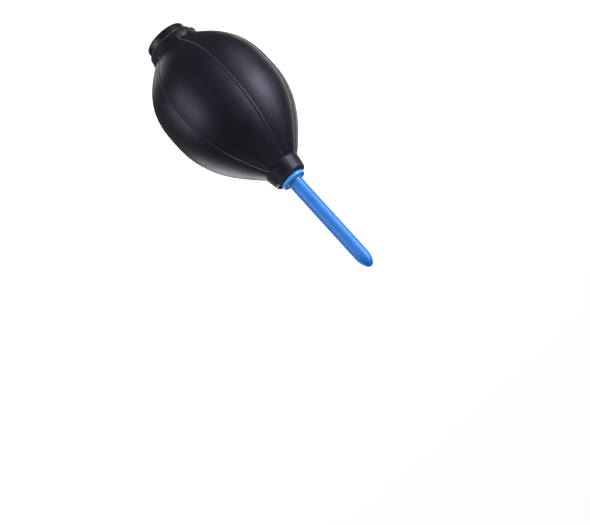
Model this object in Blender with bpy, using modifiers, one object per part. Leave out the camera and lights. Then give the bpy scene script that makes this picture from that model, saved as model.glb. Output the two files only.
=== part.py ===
"""Dust blower bulb: a six-lobed rubber bulb with a push-fit nozzle in its neck and a one-way
air intake in its tail. It stands on its tail cap, with the nozzle pointing up along +Z.

The origin is the centre of the cap's flat face. The thumb presses the bulb on its -Y side and
the fingers on its +Y side, so those two stretches of the wall are solids of their own that
slide inwards. Lengths are written in millimetres and scaled to metres by MM.
"""

import math

import bmesh
import bpy
from mathutils import Matrix, Vector

MM = 0.001
GAP = 0.3  # clearance between pieces that touch on the real object
EDGE = 0.4  # chamfer of the tail's end and of the nozzle's flange
FINE_EDGE = 0.2  # chamfer of the small parts inside

# Heights along the axis
CAP_TOP = 3.7
TAIL_END = CAP_TOP + GAP
SHOULDER = 9.3
BELLY = 42.0
NECK_ROOT = 80.5
NECK_LIP = 87.2
FLANGE_BASE = NECK_LIP + GAP
FLANGE_TOP = 89.3
TIP = 140.0

# Outer radii of the rubber
BELLY_R = 28.5
TAIL_END_R = 11.3
COLLAR_R, COLLAR_TOP = 12.0, 8.2
CORNER_MARGIN = 0.1  # the lobes stay this far off the corners of both collars
NECK_ROOT_R = 9.0
NECK_LIP_R = 7.9
LIP_ROUND = 0.9

# The belly narrows as a cosine towards each end: reach is where it would close, and power bends it
TAIL_REACH, TAIL_POWER = 41.5, 1.49
NECK_REACH, NECK_POWER = 47.0, 1.15

# Lobes and wall
LOBES = 6
LOBE_SHIFT = 0.2  # how far a lobe's own centre lies off the axis, as a share of the radius
WALL = 2.6
TAIL_BORE_R = 7.6
NECK_BORE_R = 5.1
THROAT_R = 8.1  # the cavity's points nearer the axis than this stay round
COLUMNS = 36  # a multiple of LOBES, so that valleys and crests fall on columns
BODY_RINGS = 15

# The two walls that are squeezed, as superellipses seen along Y
SQUEEZE_HALF_WIDTH = 13.8
SQUEEZE_HALF_HEIGHT = 23.0
SQUEEZE_CENTRE = 43.0
SQUEEZE_POWER = 2.4
SQUEEZE_POINTS = 40
SQUEEZE_DEPTH = BELLY_R + 5  # how far from the axis the cutters reach

# Low pads on the tail collar, near the ends of two valleys between lobes
PADS = (  # degrees round from the thumb side, height, width, tallness, outer radius
    (-44.0, 7.1, 6.4, 3.0, 12.8),
    (-92.0, 6.3, 4.2, 2.8, 12.5),
)
PAD_DEPTH = 3.0
PAD_ROUND = 0.6

# Nozzle
TUBE_R = 3.4
FLANGE_R = 5.9
ROOT_CHAMFER = 0.6  # where the tube leaves the flange
SPIGOT_R, BARB_R = 4.5, 4.8
SPIGOT_END, SPIGOT_LEAD = 76.8, 0.5
BARBS = (83.4, 79.6)
BARB_LENGTH, BARB_UNDERCUT = 2.2, 0.3
TIP_LENGTH = 6.7
TIP_R = 0.9
TIP_POINTS = 7
BORE_R, OUTLET_R = 2.2, 0.5
BORE_TAPER, OUTLET_LENGTH = 24.0, 6.0  # both measured back from the tip

# Tail cap and intake valve
CAP_R = 10.0
CAP_FLOOR = 1.5
CAP_ROUND = 1.4
CAP_TOP_CHAMFER = 0.3
CAP_WALL = 1.3
INLET_R, INLET_FLARE, INLET_FLARE_DEPTH = 2.4, 0.8, 0.7
SCREEN_R, SCREEN_THICK = 8.2, 0.5
SCREEN_HOLE_R = 0.4
SCREEN_ROWS = 2
SCREEN_PITCH = 1.15
HOUSING_R = TAIL_BORE_R - GAP
HOUSING_BORE_R = 5.6
HOUSING_FLANGE_R = CAP_R - CAP_WALL - GAP
HOUSING_BASE, HOUSING_TOP = 2.6, 14.0
HOUSING_BARB_R, HOUSING_BARB_EDGE = 8.4, 0.5
WEB_BASE, WEB_TOP = 5.0, 6.2
PORT_R = 2.6
SEAT_R, SEAT_WIRE_R = 3.6, 0.45
DISC_R, DISC_BASE, DISC_THICK = 4.8, 7.7, 1.0
DISC_BOSS_R, DISC_BOSS_RISE = 1.6, 0.2
CAGE_BASE, CAGE_TOP = 10.0, 12.8
CAGE_R, CAGE_WALL = HOUSING_BORE_R - GAP, 0.9
SPOKES = 3
SPOKE_WIDTH, SPOKE_HEIGHT, HUB_R = 1.2, 1.2, 1.6
HUB_RAISED, HUB_RISE = 0.1, 0.2  # its lower face over the spokes' lower faces, its upper over their upper


def clear_scene():
    for obj in list(bpy.data.objects):
        bpy.data.objects.remove(obj, do_unlink=True)


def collection(name):
    made = bpy.data.collections.new(name)
    bpy.context.scene.collection.children.link(made)
    return made


def material(name, colour, roughness, metallic=0.0):
    made = bpy.data.materials.new(name)
    made.use_nodes = True
    shader = made.node_tree.nodes["Principled BSDF"]
    shader.inputs["Base Color"].default_value = (*colour, 1.0)
    shader.inputs["Roughness"].default_value = roughness
    shader.inputs["Metallic"].default_value = metallic
    return made


def add(name, mesh, finish=None):
    """A part in the object's collection, shaded smooth up to 35 degrees."""
    obj = bpy.data.objects.new(name, mesh)
    PARTS.objects.link(obj)
    if finish:
        mesh.materials.clear()
        mesh.materials.append(finish)
    mesh.shade_smooth()
    mesh.set_sharp_from_angle(angle=math.radians(35))
    return obj


def add_cutter(name, mesh):
    """A helper that only cuts or joins, and isn't part of the object."""
    obj = bpy.data.objects.new(name, mesh)
    CUTTERS.objects.link(obj)
    obj.hide_render = True
    obj.display_type = "WIRE"
    return obj


def evaluated_mesh(obj):
    graph = bpy.context.evaluated_depsgraph_get()
    return bpy.data.meshes.new_from_object(obj.evaluated_get(graph))


def turned_mesh(name, profile, steps, closed=True):
    """The profile, (radius, height) pairs in millimetres down the outer side first, turned about Z."""
    mesh = bpy.data.meshes.new(name + "_profile")
    points = [(r * MM, 0, z * MM) for r, z in profile]
    edges = [(i, i + 1) for i in range(len(points) - 1)]
    if closed:
        edges.append((len(points) - 1, 0))
    mesh.from_pydata(points, edges, [])
    guide = add_cutter(name + "_profile", mesh)
    screw = guide.modifiers.new("Screw", "SCREW")
    screw.axis = "Z"
    screw.steps = screw.render_steps = steps
    screw.use_merge_vertices = True
    screw.merge_threshold = 0.00001
    turned = evaluated_mesh(guide)
    turned.name = name
    bpy.data.objects.remove(guide, do_unlink=True)
    return turned


def boolean(obj, operation, other):
    cut = obj.modifiers.new(operation.title(), "BOOLEAN")
    cut.operation = operation
    cut.solver = "EXACT"
    cut.object = other


def arc(centre_r, centre_z, radius, start, end, points):
    """Points of an arc in the profile plane, angles in degrees from the outward direction."""
    turns = [math.radians(start + (end - start) * i / (points - 1)) for i in range(points)]
    return [(centre_r + radius * math.cos(t), centre_z + radius * math.sin(t)) for t in turns]


def belly_radius(z):
    """Outer radius of the bulb at a lobe's crest."""
    reach, power = (NECK_REACH, NECK_POWER) if z > BELLY else (TAIL_REACH, TAIL_POWER)
    return BELLY_R * math.cos(math.pi / 2 * (abs(z - BELLY) / reach) ** power)


def inside_point(z):
    """The cavity's point under the outer surface at this height, one wall thickness along the normal."""
    step = 0.01
    slope = (belly_radius(z + step) - belly_radius(z - step)) / (2 * step)
    length = math.hypot(1, slope)
    return belly_radius(z) - WALL / length, z + WALL * slope / length


def lobe_factor(angle):
    """Radius of a lobed section over its crest radius: each lobe is an arc round its own centre."""
    pitch = 2 * math.pi / LOBES
    off_crest = (angle + math.pi / 2 + pitch / 2) % pitch - pitch / 2
    own_radius = 1 - LOBE_SHIFT
    reach = math.sqrt(own_radius**2 - (LOBE_SHIFT * math.sin(off_crest)) ** 2)
    return LOBE_SHIFT * math.cos(off_crest) + reach


def bulb_wall():
    """The whole rubber moulding as one mesh, open at its neck and tail."""
    heights = [SHOULDER + (NECK_ROOT - SHOULDER) * i / BODY_RINGS for i in range(BODY_RINGS + 1)]
    lip = arc(NECK_LIP_R - LIP_ROUND, NECK_LIP - LIP_ROUND, LIP_ROUND, 90, 0, 4)
    outer = [(NECK_BORE_R, NECK_LIP)] + lip
    outer += [(NECK_ROOT_R, NECK_ROOT)]
    outer += [(belly_radius(z), z) for z in reversed(heights[1:-1])]
    outer += [(belly_radius(SHOULDER), SHOULDER), (COLLAR_R, COLLAR_TOP)]
    outer += [(TAIL_END_R, TAIL_END + EDGE), (TAIL_END_R - EDGE, TAIL_END)]
    cavity = [inside_point(z) for z in heights]
    inner = [(TAIL_BORE_R, TAIL_END), (TAIL_BORE_R, cavity[0][1])]
    inner += cavity
    inner += [(NECK_BORE_R, cavity[-1][1])]
    mesh = turned_mesh("bulb_wall", outer + inner, COLUMNS)
    body = (SHOULDER + CORNER_MARGIN, NECK_ROOT - CORNER_MARGIN)
    for vertex in mesh.vertices:
        x, y, z = (c / MM for c in vertex.co)
        if body[0] < z < body[1] and math.hypot(x, y) > THROAT_R:
            factor = lobe_factor(math.atan2(y, x))
            vertex.co.x *= factor
            vertex.co.y *= factor
    return mesh


def squeeze_prism(name, half_width, half_height, y_from, y_to):
    """A superellipse in the XZ plane, extruded along Y."""
    shape = bmesh.new()
    ring = []
    for i in range(SQUEEZE_POINTS):
        t = 2 * math.pi * i / SQUEEZE_POINTS
        c, s = math.cos(t), math.sin(t)
        x = half_width * math.copysign(abs(c) ** (2 / SQUEEZE_POWER), c)
        z = half_height * math.copysign(abs(s) ** (2 / SQUEEZE_POWER), s)
        ring.append(shape.verts.new((x * MM, y_from * MM, (SQUEEZE_CENTRE + z) * MM)))
    face = shape.faces.new(ring)
    grown = bmesh.ops.extrude_face_region(shape, geom=[face])
    far = [v for v in grown["geom"] if isinstance(v, bmesh.types.BMVert)]
    bmesh.ops.translate(shape, verts=far, vec=Vector((0, (y_to - y_from) * MM, 0)))
    bmesh.ops.recalc_face_normals(shape, faces=shape.faces)
    mesh = bpy.data.meshes.new(name)
    shape.to_mesh(mesh)
    shape.free()
    return add_cutter(name, mesh)


def collar_pad(name, angle, height, width, tallness, outer_radius):
    """A low pad that stands on the tail collar."""
    shape = bmesh.new()
    bmesh.ops.create_cube(shape, size=MM)
    bmesh.ops.scale(shape, verts=shape.verts, vec=(width, PAD_DEPTH, tallness))
    mesh = bpy.data.meshes.new(name)
    shape.to_mesh(mesh)
    shape.free()
    pad = add_cutter(name, mesh)
    rounding = pad.modifiers.new("Bevel", "BEVEL")
    rounding.width = PAD_ROUND * MM
    rounding.segments = 2
    out = Matrix.Rotation(math.radians(angle), 4, "Z")
    centre = outer_radius - PAD_DEPTH / 2
    pad.matrix_world = out @ Matrix.Translation((0, -centre * MM, height * MM))
    return pad


def bulb():
    """The rubber bulb: the shell, and the two walls that are squeezed."""
    wall = bulb_wall()
    shell = add("bulb_shell", wall.copy(), RUBBER)
    for i, pad in enumerate(PADS):
        boolean(shell, "UNION", collar_pad(f"collar_pad_{i + 1}", *pad))
    half_width, half_height = SQUEEZE_HALF_WIDTH + GAP, SQUEEZE_HALF_HEIGHT + GAP
    window = squeeze_prism("window_cutter", half_width, half_height, -SQUEEZE_DEPTH, SQUEEZE_DEPTH)
    boolean(shell, "DIFFERENCE", window)
    for name, y_from, y_to in (("thumb_wall", -SQUEEZE_DEPTH, 0), ("finger_wall", 0, SQUEEZE_DEPTH)):
        panel = add(name, wall.copy(), RUBBER)
        keep = squeeze_prism(name + "_cutter", SQUEEZE_HALF_WIDTH, SQUEEZE_HALF_HEIGHT, y_from, y_to)
        boolean(panel, "INTERSECT", keep)
    bpy.data.meshes.remove(wall)


def nozzle():
    """Blue nozzle: a bullet tip on a plain tube, a flange on the neck's lip, and a barbed spigot."""
    first = math.asin(TIP_R / TUBE_R)
    shaft = []
    for i in range(TIP_POINTS):
        t = first + (math.pi / 2 - first) * i / (TIP_POINTS - 1)
        shaft.append((TUBE_R * math.sin(t), TIP - TIP_LENGTH * (math.cos(first) - math.cos(t))))
    shaft += [(TUBE_R, FLANGE_TOP + ROOT_CHAMFER), (TUBE_R + ROOT_CHAMFER, FLANGE_TOP)]
    flange = [(FLANGE_R - EDGE, FLANGE_TOP), (FLANGE_R, FLANGE_TOP - EDGE)]
    flange += [(FLANGE_R, FLANGE_BASE + EDGE), (FLANGE_R - EDGE, FLANGE_BASE), (SPIGOT_R, FLANGE_BASE)]
    spigot = []
    for top in BARBS:
        foot = top - BARB_LENGTH
        spigot += [(SPIGOT_R, top), (BARB_R, top), (SPIGOT_R - BARB_UNDERCUT, foot)]
        spigot += [(SPIGOT_R, foot - BARB_UNDERCUT)]
    spigot[-1] = (SPIGOT_R - SPIGOT_LEAD, SPIGOT_END)
    bore = [(BORE_R, SPIGOT_END), (BORE_R, TIP - BORE_TAPER)]
    bore += [(OUTLET_R, TIP - OUTLET_LENGTH), (OUTLET_R, TIP)]
    add("nozzle", turned_mesh("nozzle", shaft + flange + spigot + bore, 24), BLUE)


def tail_cap():
    """The disc that the blower stands on, a shallow cup with the air inlet in its middle."""
    rim = [(CAP_R - CAP_TOP_CHAMFER, CAP_TOP), (CAP_R, CAP_TOP - CAP_TOP_CHAMFER)]
    rim += arc(CAP_R - CAP_ROUND, CAP_ROUND, CAP_ROUND, 0, -90, 4)
    inlet = [(INLET_R + INLET_FLARE, 0), (INLET_R, INLET_FLARE_DEPTH), (INLET_R, CAP_FLOOR)]
    cup = [(CAP_R - CAP_WALL, CAP_FLOOR), (CAP_R - CAP_WALL, CAP_TOP)]
    add("tail_cap", turned_mesh("tail_cap", rim + inlet + cup, 36), CAP_PLASTIC)


def inlet_screen():
    """Perforated disc between the cap and the valve housing."""
    base = CAP_FLOOR + GAP
    edge = [(0, base + SCREEN_THICK), (SCREEN_R, base + SCREEN_THICK), (SCREEN_R, base), (0, base)]
    screen = add("inlet_screen", turned_mesh("inlet_screen", edge, 24, closed=False), STEEL)
    shape = bmesh.new()
    spots = [(0.0, 0.0)]
    for row in range(1, SCREEN_ROWS + 1):
        count = 6 * row
        spots += [(SCREEN_PITCH * row, 2 * math.pi * i / count) for i in range(count)]
    for r, t in spots:
        place = Matrix.Translation((r * math.cos(t) * MM, r * math.sin(t) * MM, base * MM))
        bmesh.ops.create_cone(
            shape,
            cap_ends=True,
            segments=6,
            radius1=SCREEN_HOLE_R * MM,
            radius2=SCREEN_HOLE_R * MM,
            depth=4 * SCREEN_THICK * MM,
            matrix=place,
        )
    mesh = bpy.data.meshes.new("screen_holes")
    shape.to_mesh(mesh)
    shape.free()
    boolean(screen, "DIFFERENCE", add_cutter("screen_holes", mesh))


def valve_housing():
    """Sleeve plugged into the rubber tail, with a flange outside, a barb inside and a web with the port."""
    _, inner_shoulder = inside_point(SHOULDER)
    barb_base = inner_shoulder + GAP
    outer = [(HOUSING_R - FINE_EDGE, HOUSING_TOP), (HOUSING_BARB_R, barb_base + HOUSING_BARB_EDGE)]
    outer += [(HOUSING_BARB_R, barb_base), (HOUSING_R, barb_base), (HOUSING_R, CAP_TOP)]
    outer += [(HOUSING_FLANGE_R, CAP_TOP), (HOUSING_FLANGE_R, HOUSING_BASE)]
    inner = [(HOUSING_BORE_R, HOUSING_BASE), (HOUSING_BORE_R, WEB_BASE), (PORT_R, WEB_BASE)]
    inner += [(PORT_R, WEB_TOP), (HOUSING_BORE_R, WEB_TOP), (HOUSING_BORE_R, HOUSING_TOP)]
    add("valve_housing", turned_mesh("valve_housing", outer + inner, 28), INNER_PLASTIC)


def seat_ring():
    """Rubber ring on the web, which the valve disc closes against."""
    bpy.ops.mesh.primitive_torus_add(
        major_radius=SEAT_R * MM,
        minor_radius=SEAT_WIRE_R * MM,
        major_segments=24,
        minor_segments=6,
        location=(0, 0, (WEB_TOP + GAP + SEAT_WIRE_R) * MM),
    )
    made = bpy.context.object
    mesh = made.data
    place = made.location.copy()
    bpy.data.objects.remove(made, do_unlink=True)
    add("seat_ring", mesh, SEAL_RUBBER).location = place


def valve_disc():
    """The non-return disc. Its origin is on the axis, where it rests over the seat ring."""
    top, inset = DISC_THICK, DISC_R - FINE_EDGE
    boss = [(0, top + DISC_BOSS_RISE), (DISC_BOSS_R - FINE_EDGE, top + DISC_BOSS_RISE), (DISC_BOSS_R, top)]
    edge = boss + [(inset, top), (DISC_R, top - FINE_EDGE), (DISC_R, FINE_EDGE), (inset, 0), (0, 0)]
    disc = add("valve_disc", turned_mesh("valve_disc", edge, 24, closed=False), SEAL_RUBBER)
    disc.location.z = DISC_BASE * MM


def valve_cage():
    """Ring with spokes inside the housing, which stops the disc after its short lift."""
    ring = [(CAGE_R, CAGE_TOP), (CAGE_R, CAGE_BASE), (CAGE_R - CAGE_WALL, CAGE_BASE)]
    ring += [(CAGE_R - CAGE_WALL, CAGE_TOP)]
    cage = add("valve_cage", turned_mesh("valve_cage", ring, 24), INNER_PLASTIC)
    middle = (CAGE_BASE + SPOKE_HEIGHT / 2) * MM
    for i in range(SPOKES):
        shape = bmesh.new()
        bmesh.ops.create_cube(shape, size=MM)
        reach = CAGE_R - CAGE_WALL / 2
        bmesh.ops.scale(shape, verts=shape.verts, vec=(reach, SPOKE_WIDTH, SPOKE_HEIGHT))
        bmesh.ops.translate(shape, verts=shape.verts, vec=(reach / 2 * MM, 0, middle))
        mesh = bpy.data.meshes.new("spoke")
        shape.to_mesh(mesh)
        shape.free()
        spoke = add_cutter(f"spoke_{i + 1}", mesh)
        spoke.rotation_euler.z = 2 * math.pi * i / SPOKES
        boolean(cage, "UNION", spoke)
    hub_base, hub_top = CAGE_BASE + HUB_RAISED, CAGE_BASE + SPOKE_HEIGHT + HUB_RISE
    hub = [(0, hub_top), (HUB_R, hub_top), (HUB_R, hub_base), (0, hub_base)]
    boolean(cage, "UNION", add_cutter("hub", turned_mesh("hub", hub, 16, closed=False)))


clear_scene()
PARTS = collection("dust_blower_bulb")
CUTTERS = collection("cutters")
RUBBER = material("black_rubber", (0.018, 0.017, 0.021), 0.45)
SEAL_RUBBER = material("seal_rubber", (0.03, 0.03, 0.03), 0.6)
BLUE = material("blue_plastic", (0.03, 0.24, 0.78), 0.35)
CAP_PLASTIC = material("black_gloss_plastic", (0.02, 0.02, 0.024), 0.25)
INNER_PLASTIC = material("black_plastic", (0.03, 0.03, 0.03), 0.5)
STEEL = material("steel_mesh", (0.55, 0.55, 0.56), 0.35, 1.0)
bulb()
nozzle()
tail_cap()
inlet_screen()
valve_housing()
seat_ring()
valve_disc()
valve_cage()
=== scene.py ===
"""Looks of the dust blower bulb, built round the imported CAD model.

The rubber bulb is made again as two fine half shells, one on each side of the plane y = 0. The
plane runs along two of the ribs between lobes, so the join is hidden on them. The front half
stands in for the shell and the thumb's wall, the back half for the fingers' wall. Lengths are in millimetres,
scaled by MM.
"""

import math

import bpy
import numpy as np
from mathutils import Matrix, Vector

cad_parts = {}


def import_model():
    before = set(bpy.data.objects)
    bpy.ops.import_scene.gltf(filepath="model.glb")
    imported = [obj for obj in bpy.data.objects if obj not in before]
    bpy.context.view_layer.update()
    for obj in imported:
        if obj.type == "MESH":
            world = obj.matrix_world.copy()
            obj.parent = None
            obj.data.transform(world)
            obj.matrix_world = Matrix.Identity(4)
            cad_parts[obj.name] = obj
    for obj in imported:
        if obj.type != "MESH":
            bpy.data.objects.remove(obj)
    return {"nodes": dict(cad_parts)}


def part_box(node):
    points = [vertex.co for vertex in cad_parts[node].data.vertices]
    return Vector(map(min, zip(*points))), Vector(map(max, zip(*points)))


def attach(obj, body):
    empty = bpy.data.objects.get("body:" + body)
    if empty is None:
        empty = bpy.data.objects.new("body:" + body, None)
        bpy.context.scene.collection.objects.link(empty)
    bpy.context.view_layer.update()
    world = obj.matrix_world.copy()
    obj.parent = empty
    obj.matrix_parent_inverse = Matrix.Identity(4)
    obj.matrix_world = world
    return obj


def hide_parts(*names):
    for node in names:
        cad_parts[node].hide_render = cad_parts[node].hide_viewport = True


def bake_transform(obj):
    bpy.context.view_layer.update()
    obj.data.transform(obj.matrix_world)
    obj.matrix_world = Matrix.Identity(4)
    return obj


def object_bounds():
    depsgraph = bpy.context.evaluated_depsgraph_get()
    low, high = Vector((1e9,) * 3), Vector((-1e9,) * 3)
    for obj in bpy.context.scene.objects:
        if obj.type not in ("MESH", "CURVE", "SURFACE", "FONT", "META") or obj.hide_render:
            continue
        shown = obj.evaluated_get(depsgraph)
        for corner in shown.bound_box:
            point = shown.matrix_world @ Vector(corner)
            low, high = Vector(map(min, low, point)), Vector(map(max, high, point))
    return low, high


MM = 0.001

# Bulb outline: the same curves as the CAD model's
BELLY_Z, BELLY_R = 42.0, 28.5
TAIL_REACH, TAIL_POWER = 41.5, 1.49
NECK_REACH, NECK_POWER = 47.0, 1.15
WALL = 2.6
TAIL_BORE_R, NECK_BORE_R = 7.6, 5.1
SHOULDER_Z, NECK_ROOT_Z = 9.3, 80.5

# Lobes, and the fine moulded rib in each valley between two of them
LOBES = 6
LOBE_SHIFT, LOBE_SHIFT_AT_ENDS = 0.2, 0.32
ENDS_FROM, ENDS_FULL = 0.45, 0.9  # shares of the reach between which the lobes grow rounder
RIB_HEIGHT, RIB_WIDTH = 0.36, 0.36
RIB_FROM, RIB_FULL_FROM, RIB_FULL_TO, RIB_TO = 6.8, 8.8, 79.7, 81.2
# Painted highlights: the rubber's colour is made paler on the ribs, the pads, the tail collar's edge and the
# neck's lip
RIB_HIGHLIGHT, PAD_HIGHLIGHT, LIP_HIGHLIGHT = 0.3, 0.5, 0.35  # strength of the painted highlight on each, next to 1 on the tail's edge
RIB_HIGHLIGHT_FULL_TO, RIB_FAINT_FROM = 13.0, 30.0  # the painted highlight on the ribs is stronger near the tail, where they stand out most
# where the painted highlight lies on the tail collar's edge and on the neck's lip
TAIL_HIGHLIGHT_IN, TAIL_HIGHLIGHT_WIDTH = 0.27, 0.225
LIP_HIGHLIGHT_IN, LIP_HIGHLIGHT_WIDTH = 0.48, 0.424264
LOBE_COLUMNS = 56
COLUMN_CROWDING = 3.6  # how much closer the columns lie near a rib than near a crest

# Tail collar and its two low pads
TAIL_EDGE_ROUND = 0.45
TAIL_R_AT_EDGE, TAIL_R_AT_LOBES = 11.3, 12.3
TAIL_EDGE_Z, TAIL_LOBES_Z, TAIL_GONE_Z = 4.4, 8.4, 14.0  # from the last height up there is no collar
COLLAR_CORNER, NECK_CORNER = 0.25, 0.5
PADS = (  # angle in degrees, height, half width, half height, rise
    (226.0, 7.1, 3.5, 1.9, 0.75),
    (178.0, 6.3, 2.2, 1.5, 0.75),
)
PAD_EDGE = 0.65

# Neck collar
NECK_STEP_Z, NECK_STEP_ROUND = 80.7, 0.45
NECK_R_AT_STEP, NECK_R_AT_LIP = 8.9, 8.0
LIP_ROUND = 1.2

# Rows of the outer skin: each stretch up to this height is cut into this many
ROWS_UP_TO = ((8.2, 25), (12.0, 26), (76.0, 87), (83.0, 45))
ROWS_ON_NECK = 11
FIRST_ROW = 0.12  # over the tail's rounded edge
END_ROUND, END_INSET = 0.3, 0.4  # of the cavity's two mouths

# Where the hand presses: a superellipse seen along Y, and how far past it the rubber gives
PRESS_Z, PRESS_HALF_WIDTH, PRESS_HALF_HEIGHT = 43.0, 13.8, 23.0
PRESS_POWER, PRESS_REACH = 2.4, 1.48

# Nozzle
TUBE_R, FLANGE_R, NOZZLE_COLUMNS = 3.4, 5.9, 96
FLANGE_BASE, FLANGE_TOP = 0.3, 2.1  # both over the neck's lip
ROOT_FILLET, FLANGE_ROUND = 0.25, 0.6
TIP_LENGTH, TIP_R, OUTLET_R, BORE_R = 6.7, 0.9, 0.5, 2.2
TUBE_ROWS_FROM, TUBE_ROWS_TO = 6.0, 14.0  # over the flange, and under the tip
OUTLET_FLARE, OUTLET_DEPTH, TIP_EDGE = 0.12, 0.35, 0.1
BORE_TAPER, OUTLET_LENGTH = 24.0, 6.0  # both measured back from the tip
SPIGOT_R, SPIGOT_EDGE, SPIGOT_LEAD = 4.5, 0.2, 0.5
BARBS = (83.4, 79.6)
BARB_R, BARB_LENGTH, BARB_EDGE, BARB_UNDERCUT = 4.8, 2.2, 0.05, 0.3
FLANGE_PAINTED_GLOW_TO, FLANGE_PAINTED_GLOW_FADE = 89.4, 0.4  # up to this height the nozzle's plastic is painted paler, a painted glow for light through the thin flange

# Tail cap, with a shallow recess in its face and a funnel into the inlet
CAP_ROUND, CAP_TOP_ROUND, CAP_WALL, CAP_FLOOR = 1.4, 0.3, 1.3, 1.5
CAP_RIBS, CAP_RIB_DEPTH, CAP_COLUMNS_PER_RIB = 108, 0.03, 6
RECESS_INSET, RECESS_DEPTH, RECESS_ROUND, RECESS_STEP = 2.6, 0.35, 0.3, 0.05
INLET_R, FUNNEL_R, FUNNEL_DEPTH, FUNNEL_ROUND = 2.4, 3.3, 0.8, 0.2

AZIMUTH, ELEVATION, ROLL = -10.0, 14.0, 138.1
DISTANCE, LENS = 1.0, 139.6
AIM_RIGHT, AIM_UP = 12.6, -49.3  # from the object's middle, in the camera's own directions


# --- geometry helpers ---------------------------------------------------------------------------


def smooth_max(a, b, blend):
    """The larger of two radii, with a fillet of about this size where they cross."""
    h = np.clip(0.5 + 0.5 * (a - b) / blend, 0, 1)
    return b + (a - b) * h + blend * h * (1 - h)


def smooth_step(x, start, end):
    t = np.clip((x - start) / (end - start), 0, 1)
    return t * t * (3 - 2 * t)


def bell(x, centre, width):
    """1 at the centre, and next to nothing two widths from it."""
    return np.exp(-(((x - centre) / width) ** 2))


def arc(centre_r, centre_z, radius, start, end, count):
    """Points of an arc in the profile plane; angles in degrees from the outward direction."""
    turns = np.radians(np.linspace(start, end, count))
    return [(centre_r + radius * math.cos(t), centre_z + radius * math.sin(t)) for t in turns]


def new_object(name, vertices, faces, sharp=50):
    mesh = bpy.data.meshes.new(name)
    mesh.from_pydata(vertices, [], faces)
    mesh.validate()
    mesh.update()
    mesh.shade_smooth()
    mesh.set_sharp_from_angle(angle=math.radians(sharp))
    made = bpy.data.objects.new(name, mesh)
    bpy.context.scene.collection.objects.link(made)
    return made


def turned(name, profile, steps, radius_at=None, sharp=35):
    """A closed (radius, height) profile turned about Z, outer side first and downwards.
    radius_at(radius, height, angle) may change a point's radius as it goes round."""
    count = len(profile)
    vertices = []
    for j in range(steps):
        angle = 2 * math.pi * j / steps
        for r, z in profile:
            own = radius_at(r, z, angle) if radius_at else r
            vertices.append((own * MM * math.cos(angle), own * MM * math.sin(angle), z * MM))
    faces = []
    for j in range(steps):
        here, after = j * count, (j + 1) % steps * count
        for i in range(count):
            k = (i + 1) % count
            faces.append((here + i, here + k, after + k, after + i))
    return new_object(name, vertices, faces, sharp)


# --- the rubber bulb ----------------------------------------------------------------------------


def crest_radius(z):
    """Outer radius at a lobe's crest; it narrows as a cosine towards each end."""
    share = np.where(z > BELLY_Z, (z - BELLY_Z) / NECK_REACH, (BELLY_Z - z) / TAIL_REACH)
    power = np.where(z > BELLY_Z, NECK_POWER, TAIL_POWER)
    return BELLY_R * np.cos(math.pi / 2 * np.clip(share, 0, 1) ** power)


def off_crest(angle):
    pitch = 2 * math.pi / LOBES
    return (angle + math.pi / 2 + pitch / 2) % pitch - pitch / 2


def lobe_factor(angle, z):
    """Radius of the lobed section over its crest radius. The lobes are rounder towards the ends."""
    end = np.abs(z - BELLY_Z) / np.where(z > BELLY_Z, NECK_REACH, TAIL_REACH)
    shift = LOBE_SHIFT + (LOBE_SHIFT_AT_ENDS - LOBE_SHIFT) * smooth_step(end, ENDS_FROM, ENDS_FULL)
    t = off_crest(angle)
    return shift * np.cos(t) + np.sqrt((1 - shift) ** 2 - (shift * np.sin(t)) ** 2)


def rib_share(angle, z, radius):
    """1 on the line of the fine rib between two lobes, 0 off it; it fades out on both collars."""
    away = (math.pi / LOBES - np.abs(off_crest(angle))) * radius
    along = smooth_step(z, RIB_FROM, RIB_FULL_FROM) * (1 - smooth_step(z, RIB_FULL_TO, RIB_TO))
    return along * bell(away, 0, RIB_WIDTH)


def pads(angle, z):
    """Height of the low pads on the tail collar."""
    total = 0.0
    for centre, height, half_width, half_height, rise in PADS:
        turn = (angle - math.radians(centre) + math.pi) % (2 * math.pi) - math.pi
        u = np.abs(turn * TAIL_R_AT_LOBES) / half_width
        v = np.abs(z - height) / half_height
        total = total + rise * (1 - smooth_step(np.hypot(u, v), 1 - PAD_EDGE, 1 + PAD_EDGE / 4))
    return total


def outer_radius(angle, z, neck_lip):
    """The bulb's outer surface: the larger of the lobed body and the two collars, with the ribs on it."""
    body = crest_radius(z) * lobe_factor(angle, z)
    share = (z - TAIL_EDGE_Z) / (TAIL_LOBES_Z - TAIL_EDGE_Z)
    tail = TAIL_R_AT_EDGE + (TAIL_R_AT_LOBES - TAIL_R_AT_EDGE) * share
    tail = np.where(z < TAIL_GONE_Z, tail, 0) + pads(angle, z)
    slope = (NECK_R_AT_LIP - NECK_R_AT_STEP) / (neck_lip - LIP_ROUND - NECK_STEP_Z)
    neck = NECK_R_AT_STEP + slope * (z - NECK_STEP_Z)
    below = np.clip((NECK_STEP_Z - z) / NECK_STEP_ROUND, 0, 1)
    neck = neck - NECK_STEP_ROUND * (1 - np.sqrt(1 - below**2))
    neck = np.where(z < NECK_STEP_Z - NECK_STEP_ROUND, 0, neck)
    skin = smooth_max(smooth_max(body, tail, COLLAR_CORNER), neck, NECK_CORNER)
    return skin + RIB_HEIGHT * rib_share(angle, z, skin)


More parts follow.
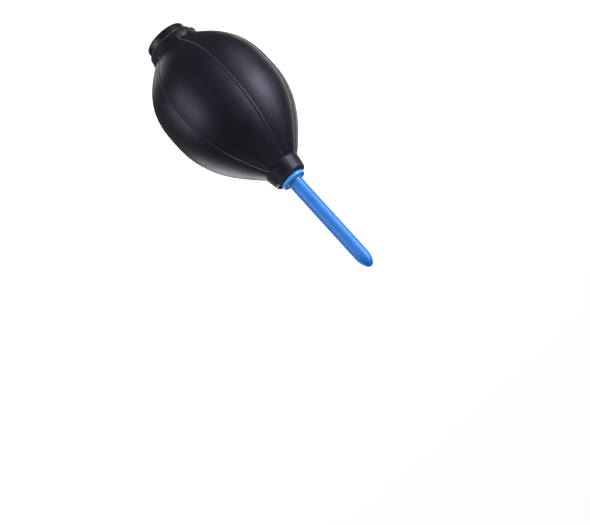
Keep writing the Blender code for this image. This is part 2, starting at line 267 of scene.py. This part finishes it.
def painted_highlight(angle, z, radius, tail_end, neck_lip):
    """How strongly a highlight is painted into the rubber's colour: on the ribs, the pads, the tail collar's
    edge and the neck's lip.
    """
    edge = bell(z, tail_end + TAIL_HIGHLIGHT_IN, TAIL_HIGHLIGHT_WIDTH)
    lip = LIP_HIGHLIGHT * bell(z, neck_lip - LIP_HIGHLIGHT_IN, LIP_HIGHLIGHT_WIDTH)
    raised = PAD_HIGHLIGHT * np.clip(pads(angle, z) / PADS[0][-1], 0, 1)
    ribs = 1 - (1 - RIB_HIGHLIGHT) * smooth_step(z, RIB_HIGHLIGHT_FULL_TO, RIB_FAINT_FROM)
    return np.clip(ribs * rib_share(angle, z, radius) + edge + lip + raised, 0, 1)


def inside_point(z):
    """The cavity's point under the outer surface at this height, one wall thickness inwards."""
    step = 0.01
    slope = (crest_radius(z + step) - crest_radius(z - step)) / (2 * step)
    length = math.hypot(1, slope)
    return float(crest_radius(z) - WALL / length), float(z + WALL * slope / length)


def profile_rows(tail_end, neck_lip):
    """The outer rows as (radius or None, height), None where the lobes set it, and the inner rows."""
    edge = TAIL_EDGE_ROUND
    rows = [(TAIL_BORE_R + END_ROUND, tail_end)]
    rows += arc(TAIL_R_AT_EDGE - edge, tail_end + edge, edge, -90, 0, 7)
    heights = [tail_end + edge + FIRST_ROW]
    for top, count in (*ROWS_UP_TO, (neck_lip - LIP_ROUND, ROWS_ON_NECK)):
        heights += list(np.linspace(heights[-1], top, count + 1))[1:]
    rows += [(None, z) for z in heights]
    rows += arc(NECK_R_AT_LIP - LIP_ROUND, neck_lip - LIP_ROUND, LIP_ROUND, 8, 90, 9)
    rows.append((NECK_BORE_R + END_INSET, neck_lip))
    first_z = inside_point(SHOULDER_Z)[1]
    last_z = inside_point(NECK_ROOT_Z)[1]
    inner = []
    for _, z in rows:
        if z <= SHOULDER_Z:
            share = (z - tail_end) / (SHOULDER_Z - tail_end)
            inner.append((TAIL_BORE_R, tail_end + END_ROUND + share * (first_z - tail_end - END_ROUND)))
        elif z >= NECK_ROOT_Z:
            share = (neck_lip - z) / (neck_lip - NECK_ROOT_Z)
            inner.append((NECK_BORE_R, neck_lip - END_ROUND + share * (last_z - neck_lip + END_ROUND)))
        else:
            inner.append(inside_point(z))
    return rows, inner


def half_columns(side):
    """Angles round one half of the bulb, crowded near the ribs."""
    u = np.linspace(-1, 1, LOBE_COLUMNS + 1)
    within = np.sign(u) * (1 - np.sinh(COLUMN_CROWDING * (1 - np.abs(u))) / math.sinh(COLUMN_CROWDING))
    half_pitch = math.pi / LOBES
    first = math.pi if side < 0 else 0.0
    angles = [first]
    for lobe in range(LOBES // 2):
        crest = first + (2 * lobe + 1) * half_pitch
        angles += [crest + half_pitch * w for w in within[1:]]
    return np.array(angles)


def half_shell(name, side, tail_end, neck_lip):
    """One half of the rubber bulb: outer skin, cavity, both end faces and the cut faces."""
    rows, inner = profile_rows(tail_end, neck_lip)
    angles = half_columns(side)
    count, turns = len(rows), len(angles)
    vertices = np.zeros((turns, 2 * count, 3))
    highlight_share = np.zeros((turns, 2 * count))
    z_outer = np.array([z for _, z in rows])
    fixed = np.array([np.nan if r is None else r for r, _ in rows])
    r_inner = np.array([r for r, _ in inner])
    z_inner = np.array([z for _, z in inner])
    for j, angle in enumerate(angles):
        radius = outer_radius(angle, z_outer, neck_lip)
        radius = np.where(np.isnan(fixed), radius, fixed)
        r = np.concatenate([radius, r_inner[::-1]])
        z = np.concatenate([z_outer, z_inner[::-1]])
        vertices[j] = np.stack([r * math.cos(angle), r * math.sin(angle), z], axis=1)
        highlight_share[j, :count] = painted_highlight(angle, z_outer, radius, tail_end, neck_lip)
    faces = []
    loop = 2 * count
    for j in range(turns - 1):
        for i in range(loop):
            k = (i + 1) % loop
            faces.append((j * loop + i, (j + 1) * loop + i, (j + 1) * loop + k, j * loop + k))
    last = (turns - 1) * loop
    for i in range(count - 1):
        a, b, c, d = i, i + 1, loop - 2 - i, loop - 1 - i
        faces.append((a, b, c, d))
        faces.append((last + d, last + c, last + b, last + a))
    made = new_object(name, (vertices.reshape(-1, 3) * MM).tolist(), faces)
    # the share of painted highlight is stored on the points for the rubber's material
    made.data.attributes.new("painted_highlight", "FLOAT", "POINT").data.foreach_set("value", highlight_share.ravel())
    return made


def press_share(mesh):
    """For each vertex, how much of the pressed wall's travel it takes: all of it where the hand
    presses, none of it past the reach. It depends on x and z alone, so the wall keeps its thickness."""
    co = np.zeros(len(mesh.vertices) * 3)
    mesh.vertices.foreach_get("co", co)
    x, _, z = co.reshape(-1, 3).T / MM
    u = np.abs(x) / PRESS_HALF_WIDTH
    v = np.abs(z - PRESS_Z) / PRESS_HALF_HEIGHT
    q = (u**PRESS_POWER + v**PRESS_POWER) ** (1 / PRESS_POWER)
    return (1 - np.clip(q / PRESS_REACH, 0, 1) ** 2) ** 2


def bulb(rubber):
    low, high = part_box("bulb_shell")
    tail_end, neck_lip = low.z / MM, high.z / MM
    for name, side, body, stands_for in (
        ("bulb_front", -1, "thumb_wall", ("bulb_shell", "thumb_wall")),
        ("bulb_back", 1, "finger_wall", ("finger_wall",)),
    ):
        half = half_shell(name, side, tail_end, neck_lip)
        half.data.materials.append(rubber)
        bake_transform(half)
        share = press_share(half.data)
        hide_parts(*stands_for)


# --- the hard parts -----------------------------------------------------------------------------


def nozzle(plastic):
    low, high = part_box("nozzle")
    spigot_end, tip = low.z / MM, high.z / MM
    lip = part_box("bulb_shell")[1].z / MM
    base, top = lip + FLANGE_BASE, lip + FLANGE_TOP
    first = math.asin(TIP_R / TUBE_R)
    profile = [(OUTLET_R, tip - OUTLET_DEPTH), (OUTLET_R + OUTLET_FLARE, tip - TIP_EDGE)]
    profile.append((TIP_R - OUTLET_FLARE, tip - TIP_EDGE / 5))
    for t in np.linspace(first, math.pi / 2, 22):
        r, z = TUBE_R * math.sin(t), tip - TIP_LENGTH * (math.cos(first) - math.cos(t))
        profile.append((r, z))
    profile += [(TUBE_R, z) for z in np.linspace(tip - TUBE_ROWS_TO, top + TUBE_ROWS_FROM, 6)]
    profile += arc(TUBE_R + ROOT_FILLET, top + ROOT_FILLET, ROOT_FILLET, 180, 270, 5)
    profile += arc(FLANGE_R - FLANGE_ROUND, top - FLANGE_ROUND, FLANGE_ROUND, 90, 0, 7)
    profile += arc(FLANGE_R - FLANGE_ROUND, base + FLANGE_ROUND, FLANGE_ROUND, 0, -90, 7)
    profile += [(SPIGOT_R + SPIGOT_EDGE, base), (SPIGOT_R, base - SPIGOT_EDGE)]
    for barb in BARBS:
        foot = barb - BARB_LENGTH
        profile += [(SPIGOT_R, barb + BARB_EDGE), (BARB_R - BARB_EDGE, barb)]
        profile += [(BARB_R, barb - 2 * BARB_EDGE), (SPIGOT_R - BARB_UNDERCUT, foot)]
        profile.append((SPIGOT_R, foot - BARB_UNDERCUT))
    profile[-1] = (SPIGOT_R - SPIGOT_LEAD, spigot_end)
    profile += [(BORE_R + SPIGOT_EDGE, spigot_end), (BORE_R, spigot_end + SPIGOT_EDGE)]
    profile += [(BORE_R, tip - BORE_TAPER), (OUTLET_R, tip - OUTLET_LENGTH)]
    made = turned("nozzle_detailed", profile, NOZZLE_COLUMNS)
    made.data.materials.append(plastic)
    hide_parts("nozzle")
    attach(made, "nozzle")


def tail_cap(plastic):
    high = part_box("tail_cap")[1]
    radius, top = high.x / MM, high.z / MM
    recess_r = radius - RECESS_INSET
    ribs_from, ribs_to = CAP_ROUND + CAP_TOP_ROUND, top - 2 * CAP_TOP_ROUND

    def ribbed(r, z, angle):
        on_rim = r == radius and ribs_from <= z <= ribs_to
        return r - CAP_RIB_DEPTH * (0.5 - 0.5 * math.cos(CAP_RIBS * angle)) if on_rim else r

    profile = arc(radius - CAP_TOP_ROUND, top - CAP_TOP_ROUND, CAP_TOP_ROUND, 90, 0, 5)
    profile += [(radius, top - 1.5 * CAP_TOP_ROUND), (radius, ribs_to), (radius, ribs_from)]
    profile += arc(radius - CAP_ROUND, CAP_ROUND, CAP_ROUND, 0, -90, 13)
    profile += [(recess_r, 0), (recess_r - RECESS_ROUND / 2, RECESS_STEP)]
    profile += [(recess_r - RECESS_ROUND, RECESS_DEPTH - RECESS_STEP)]
    profile += [(recess_r - 2 * RECESS_ROUND, RECESS_DEPTH), (FUNNEL_R + 2 * FUNNEL_ROUND, RECESS_DEPTH)]
    profile += [(FUNNEL_R, RECESS_DEPTH - RECESS_STEP)]
    profile += [(INLET_R + FUNNEL_ROUND, FUNNEL_DEPTH - 1.25 * FUNNEL_ROUND)]
    profile += [(INLET_R, FUNNEL_DEPTH), (INLET_R, CAP_FLOOR), (radius - CAP_WALL - CAP_TOP_ROUND, CAP_FLOOR)]
    profile += [(radius - CAP_WALL, CAP_FLOOR + CAP_TOP_ROUND), (radius - CAP_WALL, top)]
    made = turned("tail_cap_detailed", profile, CAP_RIBS * CAP_COLUMNS_PER_RIB, ribbed)
    made.data.materials.append(plastic)
    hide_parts("tail_cap")
    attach(made, "root")


def finish_node(name, material):
    """A CAD node that keeps its own shape and gets a better material."""
    node = frame["nodes"][name]
    node.data.materials.clear()
    node.data.materials.append(material)


# --- materials ----------------------------------------------------------------------------------


class Nodes:
    """Shortens the making of a material's nodes."""

    def __init__(self, name):
        self.material = bpy.data.materials.new(name)
        self.material.use_nodes = True
        self.tree = self.material.node_tree
        self.shader = self.tree.nodes["Principled BSDF"]
        self.place = self.tree.nodes.new("ShaderNodeTexCoord").outputs["Object"]

    def set(self, socket, value):
        self.shader.inputs[socket].default_value = value

    def noise(self, size_mm, detail=3.0, stretch=(1, 1, 1)):
        """Noise with features of about this size."""
        scaled = self.tree.nodes.new("ShaderNodeMapping")
        scaled.inputs["Scale"].default_value = Vector(stretch) / (size_mm * MM)
        self.tree.links.new(self.place, scaled.inputs["Vector"])
        made = self.tree.nodes.new("ShaderNodeTexNoise")
        made.inputs["Scale"].default_value = 1.0
        made.inputs["Detail"].default_value = detail
        self.tree.links.new(scaled.outputs["Vector"], made.inputs["Vector"])
        return made.outputs["Fac"]

    def ramp(self, source, stops):
        made = self.tree.nodes.new("ShaderNodeValToRGB")
        for element, (position, colour) in zip(made.color_ramp.elements, stops):
            element.position = position
            element.color = (*colour, 1.0)
        self.tree.links.new(source, made.inputs["Fac"])
        return made.outputs["Color"]

    def spread(self, source, low, high, from_low=0.3, from_high=0.7):
        made = self.tree.nodes.new("ShaderNodeMapRange")
        made.inputs["From Min"].default_value = from_low
        made.inputs["From Max"].default_value = from_high
        made.inputs["To Min"].default_value = low
        made.inputs["To Max"].default_value = high
        self.tree.links.new(source, made.inputs["Value"])
        return made.outputs["Result"]

    def height(self, from_mm, to_mm):
        """0 at one height and 1 at another, and held beyond them."""
        split = self.tree.nodes.new("ShaderNodeSeparateXYZ")
        self.tree.links.new(self.place, split.inputs["Vector"])
        return self.spread(split.outputs["Z"], 0.0, 1.0, from_mm * MM, to_mm * MM)

    def attribute(self, name):
        """A number stored on the mesh's points."""
        made = self.tree.nodes.new("ShaderNodeAttribute")
        made.attribute_name = name
        return made.outputs["Fac"]

    def mix(self, share, source, colour):
        """The source where the share is 0, and a plain colour where it is 1."""
        made = self.tree.nodes.new("ShaderNodeMix")
        made.data_type = "RGBA"
        made.inputs["B"].default_value = (*colour, 1.0)
        self.tree.links.new(share, made.inputs["Factor"])
        self.tree.links.new(source, made.inputs["A"])
        return made.outputs["Result"]

    def to(self, socket, source):
        self.tree.links.new(source, self.shader.inputs[socket])

    def bump(self, *layers):
        """Layers of (height source, depth in mm), stacked."""
        last = None
        for source, depth in layers:
            made = self.tree.nodes.new("ShaderNodeBump")
            made.inputs["Distance"].default_value = depth * MM
            made.inputs["Strength"].default_value = 1.0
            self.tree.links.new(source, made.inputs["Height"])
            if last:
                self.tree.links.new(last, made.inputs["Normal"])
            last = made.outputs["Normal"]
        self.to("Normal", last)


def bulb_rubber():
    n = Nodes("bulb_rubber")
    n.set("IOR", 1.5)
    n.set("Specular IOR Level", 0.54)
    n.set("Specular Tint", (0.76, 0.71, 1.0, 1.0))
    tone = n.ramp(n.noise(9, 4), [(0.35, (0.0052, 0.0049, 0.0072)), (0.7, (0.0078, 0.0073, 0.0106))])
    # painted highlight: a paler grey where the stored share is high, on the ribs, pads, tail collar's edge
    # and neck's lip
    n.to("Base Color", n.mix(n.attribute("painted_highlight"), tone, (0.06, 0.056, 0.07)))
    n.to("Roughness", n.spread(n.noise(5, 5), 0.42, 0.5))
    n.bump((n.noise(0.3, 2), 0.005), (n.noise(2.5, 2), 0.012))
    return n.material


def blue_plastic():
    """Blue plastic. The thin flange is painted paler than the tube, a painted glow that stands in for light
    coming through it.
    """
    n = Nodes("blue_plastic")
    n.set("IOR", 1.5)
    tone = n.ramp(n.noise(6, 3), [(0.3, (0.009, 0.163, 0.57)), (0.7, (0.012, 0.182, 0.63))])
    # painted glow: the flange is mixed to a paler blue by height
    painted_glow = n.height(FLANGE_PAINTED_GLOW_TO + FLANGE_PAINTED_GLOW_FADE, FLANGE_PAINTED_GLOW_TO)
    n.to("Base Color", n.mix(painted_glow, tone, (0.06, 0.34, 0.8)))
    n.to("Roughness", n.spread(n.noise(1.5, 4), 0.32, 0.39))
    n.bump((n.noise(0.5, 2), 0.004))
    return n.material


def cap_plastic():
    n = Nodes("cap_plastic")
    n.set("IOR", 1.5)
    n.set("Specular Tint", (0.82, 0.78, 1.0, 1.0))
    n.to("Base Color", n.ramp(n.noise(4, 3), [(0.3, (0.006, 0.0056, 0.008)), (0.7, (0.01, 0.0094, 0.013))]))
    n.to("Roughness", n.spread(n.noise(1.2, 4), 0.3, 0.37))
    n.bump((n.noise(0.3, 2), 0.003))
    return n.material


def valve_plastic():
    n = Nodes("valve_plastic")
    n.to("Base Color", n.ramp(n.noise(3, 3), [(0.3, (0.02, 0.02, 0.02)), (0.7, (0.04, 0.04, 0.04))]))
    n.to("Roughness", n.spread(n.noise(1, 3), 0.45, 0.6))
    n.bump((n.noise(0.2, 2), 0.006))
    return n.material


def seal_rubber():
    n = Nodes("seal_rubber")
    n.to("Base Color", n.ramp(n.noise(2, 3), [(0.3, (0.02, 0.02, 0.02)), (0.7, (0.035, 0.033, 0.03))]))
    n.to("Roughness", n.spread(n.noise(0.8, 3), 0.55, 0.7))
    n.bump((n.noise(0.15, 2), 0.005))
    return n.material


def screen_steel():
    n = Nodes("screen_steel")
    n.set("Metallic", 1.0)
    n.to("Base Color", n.ramp(n.noise(1, 3), [(0.3, (0.42, 0.42, 0.43)), (0.7, (0.58, 0.58, 0.59))]))
    n.to("Roughness", n.spread(n.noise(0.5, 3), 0.3, 0.45))
    n.bump((n.noise(1.5, 2, stretch=(1, 12, 1)), 0.01))
    return n.material


# --- stage --------------------------------------------------------------------------------------


def camera_axes():
    """The camera's right, up and back directions."""
    a, e, roll = math.radians(AZIMUTH), math.radians(ELEVATION), math.radians(ROLL)
    back = Vector((math.sin(a) * math.cos(e), -math.cos(a) * math.cos(e), math.sin(e)))
    right = Vector((math.cos(a), math.sin(a), 0))
    up = back.cross(right)
    turned_right = right * math.cos(roll) + up * math.sin(roll)
    turned_up = up * math.cos(roll) - right * math.sin(roll)
    return turned_right, turned_up, back


def camera(middle):
    right, up, back = camera_axes()
    data = bpy.data.cameras.new("camera")
    data.lens = LENS
    data.sensor_width = 36
    data.clip_start, data.clip_end = 0.01, 20
    made = bpy.data.objects.new("camera", data)
    bpy.context.scene.collection.objects.link(made)
    turn = Matrix((right, up, back)).transposed().to_4x4()
    place = middle + right * AIM_RIGHT * MM + up * AIM_UP * MM + back * DISTANCE
    made.matrix_world = Matrix.Translation(place) @ turn
    bpy.context.scene.camera = made


def softbox(name, target, direction, distance, size, power):
    data = bpy.data.lights.new(name, "AREA")
    data.shape = "RECTANGLE"
    data.size, data.size_y = size
    data.energy = power
    made = bpy.data.objects.new(name, data)
    bpy.context.scene.collection.objects.link(made)
    made.location = target + direction.normalized() * distance
    made.rotation_mode = "QUATERNION"
    made.rotation_quaternion = direction.to_track_quat("Z", "Y")
    made.visible_camera = False


def lights(middle):
    """Six soft lights, placed by the camera's view of the object: across is away from its axis
    towards the upper right, and along is down its axis towards the nozzle."""
    back = camera_axes()[2]
    along = (Vector((0, 0, 1)) - back * back.z).normalized()
    across = back.cross(along)
    softbox("key", middle, across * 0.92 + back * 0.38, 0.7, (0.4, 0.5), 5.4)
    softbox("fill", middle, -across * 0.8 - along * 0.45 + back * 0.4, 0.7, (0.45, 0.16), 1.6)
    softbox("shoulders", middle, -across * 0.2 - along * 0.62 - back * 0.76, 0.6, (0.25, 0.2), 0.3)
    softbox("rim", middle, -across * 0.6 + along * 0.45 - back * 0.66, 0.7, (0.4, 0.5), 2.6)
    softbox("edge", middle, across * 0.4 - back * 0.9, 0.7, (0.3, 0.6), 1.3)
    softbox("top", middle, Vector((0.15, 0.1, 1)), 0.9, (0.5, 0.5), 1.2)


def floor():
    size = 4.0
    made = new_object(
        "floor",
        [(-size, -size, 0), (size, -size, 0), (size, size, 0), (-size, size, 0)],
        [(0, 1, 2, 3)],
    )
    n = Nodes("floor_paper")
    n.set("Roughness", 0.9)
    n.to("Base Color", n.ramp(n.noise(40, 2), [(0.3, (0.86, 0.86, 0.86)), (0.7, (0.88, 0.88, 0.88))]))
    n.set("Emission Color", (1, 1, 1, 1))
    n.set("Emission Strength", 0.92)
    made.data.materials.append(n.material)
    made.visible_glossy = False
    made.visible_shadow = False


def world():
    """White to the camera, and a dim room to everything else, so that black rubber stays black."""
    made = bpy.data.worlds.new("world")
    made.use_nodes = True
    tree = made.node_tree
    background = tree.nodes["Background"]
    path = tree.nodes.new("ShaderNodeLightPath")
    mix = tree.nodes.new("ShaderNodeMixShader")
    dim = tree.nodes.new("ShaderNodeBackground")
    background.inputs["Color"].default_value = (1, 1, 1, 1)
    background.inputs["Strength"].default_value = 1.0
    dim.inputs["Color"].default_value = (0.95, 0.95, 1, 1)
    dim.inputs["Strength"].default_value = 0.07
    tree.links.new(path.outputs["Is Camera Ray"], mix.inputs["Fac"])
    tree.links.new(dim.outputs["Background"], mix.inputs[1])
    tree.links.new(background.outputs["Background"], mix.inputs[2])
    tree.links.new(mix.outputs["Shader"], tree.nodes["World Output"].inputs["Surface"])
    bpy.context.scene.world = made


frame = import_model()
cad_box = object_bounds()
middle = (cad_box[0] + cad_box[1]) / 2

camera(middle)
world()
lights(middle)
floor()

bulb(bulb_rubber())
nozzle(blue_plastic())
tail_cap(cap_plastic())
valve_black, valve_rubber = valve_plastic(), seal_rubber()
finish_node("valve_housing", valve_black)
finish_node("valve_cage", valve_black)
finish_node("seat_ring", valve_rubber)
finish_node("valve_disc", valve_rubber)
finish_node("inlet_screen", screen_steel())

bpy.context.scene.view_settings.view_transform = "Standard"
